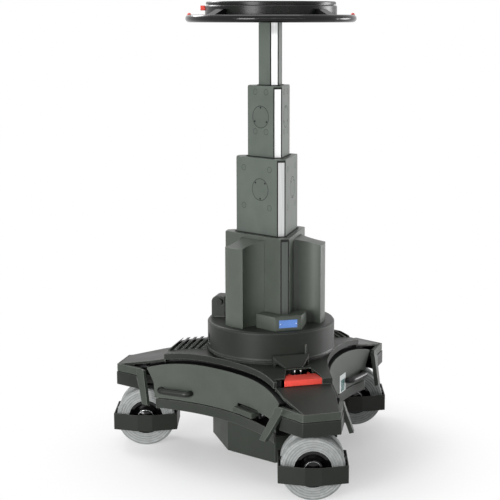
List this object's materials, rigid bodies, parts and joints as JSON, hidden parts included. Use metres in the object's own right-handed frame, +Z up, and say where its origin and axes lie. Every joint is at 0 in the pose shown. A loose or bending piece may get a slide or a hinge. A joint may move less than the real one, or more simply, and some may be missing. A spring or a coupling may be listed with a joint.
{
  "type": "studio camera pedestal",
  "caption": "Wheeled studio camera pedestal with a telescopic triangular column, a steering ring at the top and a low star-shaped base on steerable casters with foot pedals.",
  "frame": {"origin": "on the column's axis at floor level", "axes": "+Z up along the column, -Y along the arm with the red pedal"},
  "size_m": [1.0086, 0.87, 1.495],
  "materials": {
    "base_paint": "satin",
    "cover_plastic": "satin",
    "column_paint": "satin",
    "dark_plastic": "matte",
    "dark_metal": "satin",
    "polished_strip": "polished",
    "inner_steel": "satin",
    "cylinder_alloy": "satin",
    "seal_rubber": "matte",
    "ring_gloss": "gloss",
    "head_metal": "anodised",
    "tyre_grey": "matte",
    "hub_black": "gloss",
    "signal_red": "satin"
  },
  "bodies": {
    "base": {"chassis_frame": "base_paint", "deck_cover": "cover_plastic", "skirt_panels": "cover_plastic", "arm_caps": "cover_plastic", "bumper_straps": "cover_plastic", "drum": "cover_plastic", "under_pan": "cover_plastic", "pedal_guard": "dark_plastic", "side_bars": "dark_metal", "steering_chains": "inner_steel", "column_casing": "column_paint", "casing_strips": "polished_strip", "casing_seal": "seal_rubber", "cylinder_covers": "cover_plastic", "gas_cylinders": "cylinder_alloy", "label_box": "cover_plastic", "pedal_pins": "inner_steel"},
    "stage_1": {"stage_1": "column_paint", "stage_1_strips": "polished_strip", "stage_1_seal": "seal_rubber", "stage_1_covers": "dark_plastic"},
    "stage_2": {"stage_2": "column_paint", "stage_2_strips": "polished_strip", "stage_2_seal": "seal_rubber", "stage_2_covers": "dark_plastic"},
    "stage_3": {"stage_3": "column_paint", "stage_3_strips": "polished_strip", "head_plate": "head_metal"},
    "steering": {"steering_ring": "ring_gloss", "head_disc": "ring_gloss"},
    "head_knob": {"head_knob": "signal_red"},
    "shaft": {"steering_shaft": "inner_steel"},
    "tube_mid": {"steering_tube_mid": "inner_steel"},
    "tube_top": {"steering_tube_top": "inner_steel"},
    "mode_pedal": {"mode_pedal": "signal_red"},
    "valve_knob": {"valve_knob": "dark_plastic"},
    "brake_1": {"brake_pedal_1": "dark_metal"},
    "brake_2": {"brake_pedal_2": "dark_metal"},
    "brake_3": {"brake_pedal_3": "dark_metal"},
    "caster_a": {"yoke_a": "dark_metal", "sprocket_a": "inner_steel", "guard_a": "dark_plastic"},
    "wheel_a_1": {"tyre_a_1": "tyre_grey", "hub_a_1": "hub_black"},
    "wheel_a_2": {"tyre_a_2": "tyre_grey", "hub_a_2": "hub_black"},
    "caster_b": {"yoke_b": "dark_metal", "sprocket_b": "inner_steel", "guard_b": "dark_plastic"},
    "wheel_b_1": {"tyre_b_1": "tyre_grey", "hub_b_1": "hub_black"},
    "wheel_b_2": {"tyre_b_2": "tyre_grey", "hub_b_2": "hub_black"},
    "caster_c": {"yoke_c": "dark_metal", "sprocket_c": "inner_steel", "guard_c": "dark_plastic"},
    "wheel_c_1": {"tyre_c_1": "tyre_grey", "hub_c_1": "hub_black"},
    "wheel_c_2": {"tyre_c_2": "tyre_grey", "hub_c_2": "hub_black"}
  },
  "joints": [
    {"name": "stage_1_lift", "type": "slide", "parent": "base", "child": "stage_1", "axis": [0, 0, 1], "range_m": [-0.19, 0.03]},
    {"name": "stage_2_lift", "type": "slide", "parent": "stage_1", "child": "stage_2", "axis": [0, 0, 1], "range_m": [-0.19, 0.03]},
    {"name": "stage_3_lift", "type": "slide", "parent": "stage_2", "child": "stage_3", "axis": [0, 0, 1], "range_m": [-0.19, 0.03]},
    {"name": "ring_turn", "type": "hinge", "parent": "stage_3", "child": "steering", "pos_m": [0, 0, 1.442], "axis": [0, 0, 1], "continuous": true},
    {"name": "shaft_turn", "type": "hinge", "parent": "base", "child": "shaft", "pos_m": [0, 0, 0.25], "axis": [0, 0, 1], "continuous": true},
    {"name": "tube_mid_turn", "type": "hinge", "parent": "stage_2", "child": "tube_mid", "pos_m": [0, 0, 0.7], "axis": [0, 0, 1], "continuous": true},
    {"name": "tube_top_turn", "type": "hinge", "parent": "stage_3", "child": "tube_top", "pos_m": [0, 0, 0.9], "axis": [0, 0, 1], "continuous": true},
    {"name": "caster_a_swivel", "type": "hinge", "parent": "base", "child": "caster_a", "pos_m": [0, -0.439, 0.23], "axis": [0, 0, 1], "continuous": true},
    {"name": "wheel_a_1_roll", "type": "hinge", "parent": "caster_a", "child": "wheel_a_1", "pos_m": [-0.01105, -0.47536, 0.1], "axis": [0.2907, 0.9568, 0], "continuous": true},
    {"name": "wheel_a_2_roll", "type": "hinge", "parent": "caster_a", "child": "wheel_a_2", "pos_m": [0.01105, -0.40264, 0.1], "axis": [0.2907, 0.9568, 0], "continuous": true},
    {"name": "caster_b_swivel", "type": "hinge", "parent": "base", "child": "caster_b", "pos_m": [-0.38018, 0.2195, 0.23], "axis": [0, 0, 1], "continuous": true},
    {"name": "wheel_b_1_roll", "type": "hinge", "parent": "caster_b", "child": "wheel_b_1", "pos_m": [-0.39123, 0.18314, 0.1], "axis": [0.2907, 0.9568, 0], "continuous": true},
    {"name": "wheel_b_2_roll", "type": "hinge", "parent": "caster_b", "child": "wheel_b_2", "pos_m": [-0.36914, 0.25586, 0.1], "axis": [0.2907, 0.9568, 0], "continuous": true},
    {"name": "caster_c_swivel", "type": "hinge", "parent": "base", "child": "caster_c", "pos_m": [0.38018, 0.2195, 0.23], "axis": [0, 0, 1], "continuous": true},
    {"name": "wheel_c_1_roll", "type": "hinge", "parent": "caster_c", "child": "wheel_c_1", "pos_m": [0.36914, 0.18314, 0.1], "axis": [0.2907, 0.9568, 0], "continuous": true},
    {"name": "wheel_c_2_roll", "type": "hinge", "parent": "caster_c", "child": "wheel_c_2", "pos_m": [0.39123, 0.25586, 0.1], "axis": [0.2907, 0.9568, 0], "continuous": true},
    {"name": "mode_pedal_tilt", "type": "hinge", "parent": "base", "child": "mode_pedal", "pos_m": [0, -0.266, 0.326], "axis": [1, 0, 0], "range_deg": [0, 6], "stiffness_Nm_per_rad": 2, "springref_deg": -14.32},
    {"name": "brake_1_tilt", "type": "hinge", "parent": "base", "child": "brake_1", "pos_m": [-0.12752, -0.19965, 0.208], "axis": [0.3469, -0.9379, 0], "range_deg": [0, 12], "stiffness_Nm_per_rad": 2, "springref_deg": -14.32},
    {"name": "brake_2_tilt", "type": "hinge", "parent": "base", "child": "brake_2", "pos_m": [0.12752, -0.19965, 0.208], "axis": [0.3469, 0.9379, 0], "range_deg": [0, 12], "stiffness_Nm_per_rad": 2, "springref_deg": -14.32},
    {"name": "brake_3_tilt", "type": "hinge", "parent": "base", "child": "brake_3", "pos_m": [-0.10914, 0.21026, 0.208], "axis": [-0.9857, 0.1685, 0], "range_deg": [0, 12], "stiffness_Nm_per_rad": 2, "springref_deg": -14.32},
    {"name": "valve_turn", "type": "hinge", "parent": "base", "child": "valve_knob", "pos_m": [-0.16022, 0.06248, 0.512], "axis": [-0.5, -0.866, 0], "range_deg": [-180, 180]},
    {"name": "head_knob_turn", "type": "hinge", "parent": "steering", "child": "head_knob", "pos_m": [-0.20189, 0.06134, 1.475], "axis": [-0.9568, 0.2907, 0], "range_deg": [-180, 180]}
  ],
  "couplings": [
    {"joint": "stage_2_lift", "follows": "stage_1_lift", "ratio": 1},
    {"joint": "stage_3_lift", "follows": "stage_1_lift", "ratio": 1},
    {"joint": "shaft_turn", "follows": "ring_turn", "ratio": 1},
    {"joint": "tube_mid_turn", "follows": "ring_turn", "ratio": 1},
    {"joint": "tube_top_turn", "follows": "ring_turn", "ratio": 1},
    {"joint": "caster_a_swivel", "follows": "ring_turn", "ratio": 1},
    {"joint": "caster_b_swivel", "follows": "ring_turn", "ratio": 1},
    {"joint": "caster_c_swivel", "follows": "ring_turn", "ratio": 1}
  ]
}
